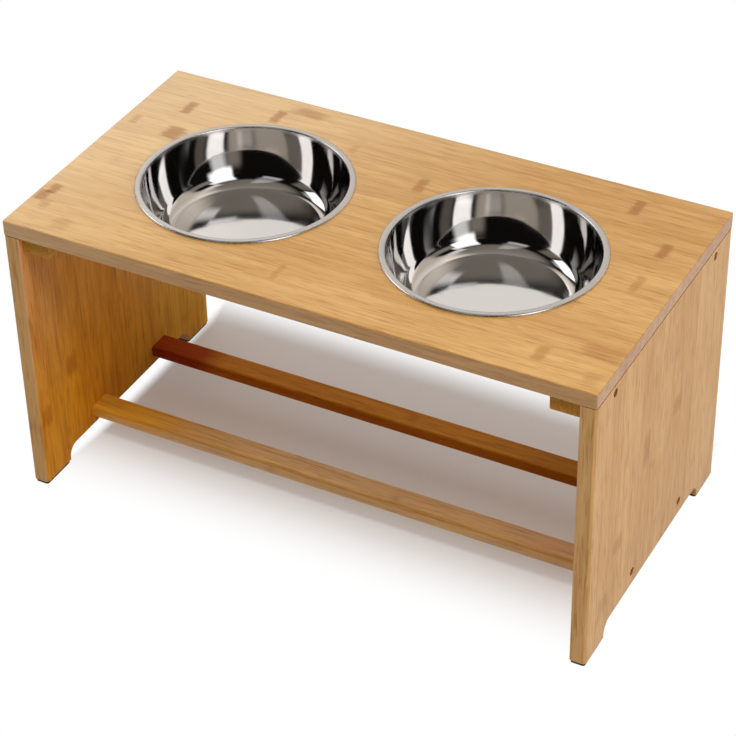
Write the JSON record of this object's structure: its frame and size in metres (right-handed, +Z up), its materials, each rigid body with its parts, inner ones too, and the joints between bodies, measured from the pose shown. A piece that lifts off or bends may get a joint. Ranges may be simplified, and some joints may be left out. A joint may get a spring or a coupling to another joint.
{
  "type": "elevated dog feeder",
  "caption": "Raised bamboo feeding stand with round steel bowls that lift out of holes in its top board, on arched side panels tied by low stretchers.",
  "frame": {"origin": "on the floor, under the middle of the stand", "axes": "+X along the stand's width to its right as seen from the front, -Y to the front, +Z up"},
  "size_m": [0.58, 0.302, 0.3025],
  "materials": {
    "bamboo_board": "satin",
    "bamboo_panel": "satin",
    "bamboo_stretcher": "satin",
    "bamboo_cleat": "satin",
    "bowl_steel": "polished",
    "pad_rubber": "matte",
    "screw_steel": "satin",
    "dowel_wood": "matte"
  },
  "bodies": {
    "stand": {"top_board": "bamboo_board", "front_stretcher": "bamboo_stretcher", "rear_stretcher": "bamboo_stretcher", "left_side_panel": "bamboo_panel", "left_cleat": "bamboo_cleat", "front_left_foot_pad": "pad_rubber", "rear_left_foot_pad": "pad_rubber", "left_panel_cleat_screws": "screw_steel", "left_panel_stretcher_screws": "screw_steel", "left_cleat_board_screws": "screw_steel", "left_stretcher_dowels": "dowel_wood", "right_side_panel": "bamboo_panel", "right_cleat": "bamboo_cleat", "front_right_foot_pad": "pad_rubber", "rear_right_foot_pad": "pad_rubber", "right_panel_cleat_screws": "screw_steel", "right_panel_stretcher_screws": "screw_steel", "right_cleat_board_screws": "screw_steel", "right_stretcher_dowels": "dowel_wood"},
    "left_bowl": {"left_bowl": "bowl_steel"},
    "right_bowl": {"right_bowl": "bowl_steel"}
  },
  "joints": [
    {"name": "left_bowl_lift", "type": "slide", "parent": "stand", "child": "left_bowl", "axis": [0, 0, 1], "range_m": [0, 0.1]},
    {"name": "right_bowl_lift", "type": "slide", "parent": "stand", "child": "right_bowl", "axis": [0, 0, 1], "range_m": [0, 0.1]}
  ]
}
